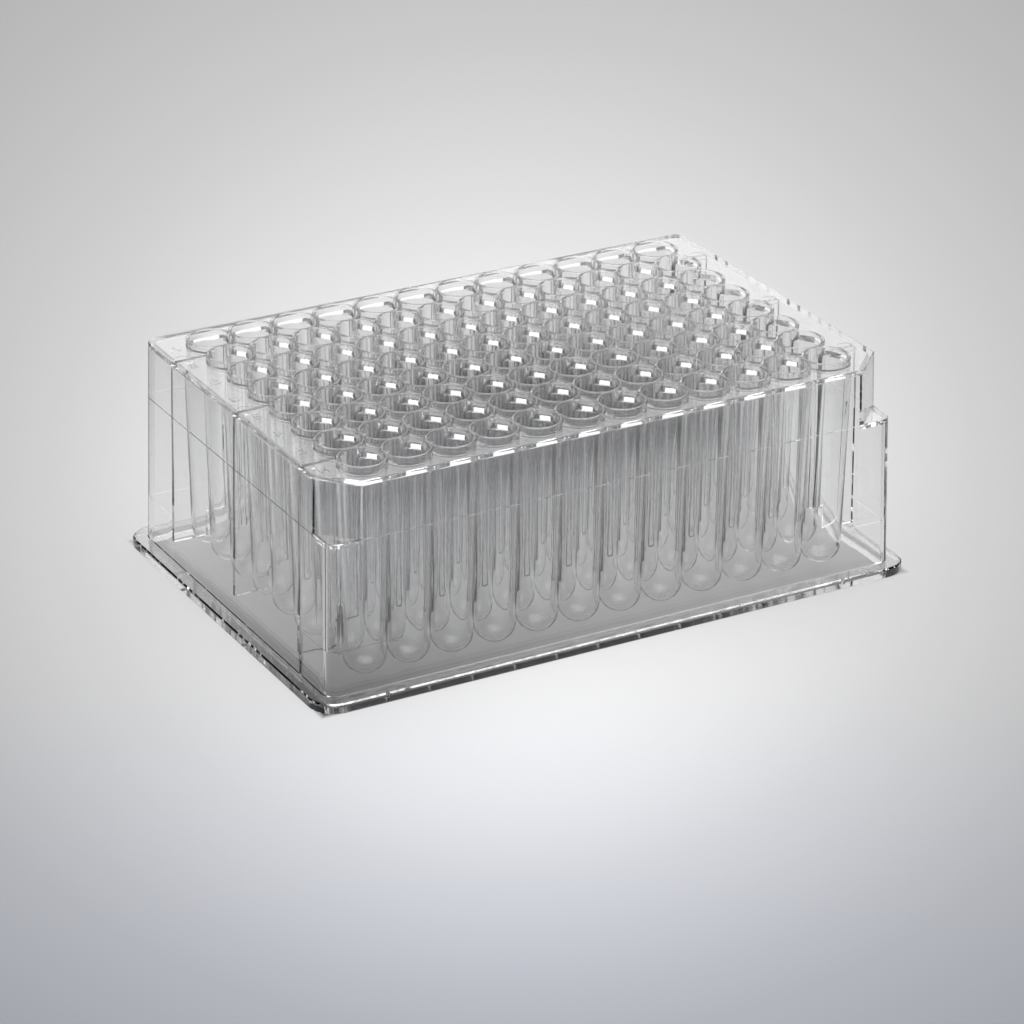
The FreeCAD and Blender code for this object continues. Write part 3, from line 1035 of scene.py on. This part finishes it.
class PLATE_OT_studio(bpy.types.Operator):
    """Make the floor, the light and the camera"""

    bl_idname = "plate.studio"
    bl_label = "Studio"

    def execute(self, context):
        look = context.scene.studio_look
        half, level = FLOOR_REACH, -FLOOR_GAP
        corners = [(-half, -half, level), (half, -half, level), (half, half, level), (-half, half, level)]
        mesh = bpy.data.meshes.new("floor")
        mesh.from_pydata(corners, [], [(0, 1, 2, 3)])
        floor = new_object("floor", mesh, floor_paint(look))
        add_camera(context.scene)
        add_light(context.scene, look)
        return {"FINISHED"}


def add_camera(scene):
    """A long lens that looks down on the front left corner."""
    turn, tilt, roll = math.radians(CAMERA_TURN), math.radians(CAMERA_TILT), math.radians(CAMERA_ROLL)
    ahead = Vector((math.cos(turn) * math.cos(tilt), math.sin(turn) * math.cos(tilt), math.sin(tilt)))
    right = ahead.cross(Vector((0.0, 0.0, 1.0))).normalized()
    up = right.cross(ahead)
    rolled_right = right * math.cos(roll) + up * math.sin(roll)
    rolled_up = up * math.cos(roll) - right * math.sin(roll)
    lens = bpy.data.cameras.new("camera")
    lens.sensor_width = CAMERA_SENSOR
    lens.lens = CAMERA_LENS
    lens.clip_start, lens.clip_end = 0.01, 50.0
    camera = bpy.data.objects.new("camera", lens)
    place = Matrix((rolled_right, rolled_up, -ahead)).transposed().to_4x4()
    place.translation = CAMERA_PLACE
    camera.matrix_world = place
    scene.collection.objects.link(camera)
    scene.camera = camera


def add_light(scene, look):
    """Faint even light from all round, and the large soft lamps over and behind the plate."""
    world = bpy.data.worlds.new("studio")
    world.use_nodes = True
    shader = Shader(world.node_tree)
    white = (1.0, 1.0, 1.0, 1.0)
    even = shader.node("ShaderNodeBackground", sockets={"Color": white, "Strength": ROOM_LIGHT})
    shader.node("ShaderNodeOutputWorld", sockets={"Surface": even.outputs[0]})
    scene.world = world
    for name, width, energy, lift, away in SOFTBOXES:
        lamp = bpy.data.lights.new(name, "AREA")
        lamp.size, lamp.energy = width, energy
        softbox = bpy.data.objects.new(name, lamp)
        level = math.cos(math.radians(lift))
        ahead = Vector((math.cos(look.aim) * level, math.sin(look.aim) * level, math.sin(math.radians(lift))))
        softbox.location = away * ahead
        softbox.rotation_euler = (-ahead).to_track_quat("-Z", "Y").to_euler()
        softbox.visible_camera = False
        scene.collection.objects.link(softbox)
    scene.view_settings.view_transform = "Standard"
    cycles = scene.cycles
    cycles.max_bounces = MOST_BOUNCES
    cycles.transmission_bounces = MOST_BOUNCES
    cycles.glossy_bounces = MOST_BOUNCES
    cycles.transparent_max_bounces = MOST_BOUNCES


class PLATE_PT_sidebar(bpy.types.Panel):
    """The plate's pieces in the sidebar"""

    bl_idname = "PLATE_PT_sidebar"
    bl_label = "Well plate"
    bl_space_type = "VIEW_3D"
    bl_region_type = "UI"
    bl_category = "Well plate"

    def draw(self, context):
        for operator in OPERATORS:
            self.layout.operator(operator.bl_idname)


OPERATORS = (PLATE_OT_moulding, PLATE_OT_studio)
GROUPS = {"plate_sizes": PlateSizes, "moulding_look": MouldingLook, "studio_look": StudioLook}


def register():
    """Register the classes and hang the property groups on the scene."""
    for item in (*GROUPS.values(), *OPERATORS, PLATE_PT_sidebar):
        bpy.utils.register_class(item)
    for name, group in GROUPS.items():
        setattr(bpy.types.Scene, name, PointerProperty(type=group))


def unregister():
    """Undo what register did."""
    for name in GROUPS:
        delattr(bpy.types.Scene, name)
    for item in (PLATE_PT_sidebar, *reversed(OPERATORS), *reversed(GROUPS.values())):
        bpy.utils.unregister_class(item)


def main():
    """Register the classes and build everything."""
    register()
    for operator in OPERATORS:
        group, name = operator.bl_idname.split(".")
        getattr(getattr(bpy.ops, group), name)()


if __name__ == "__main__":
    main()
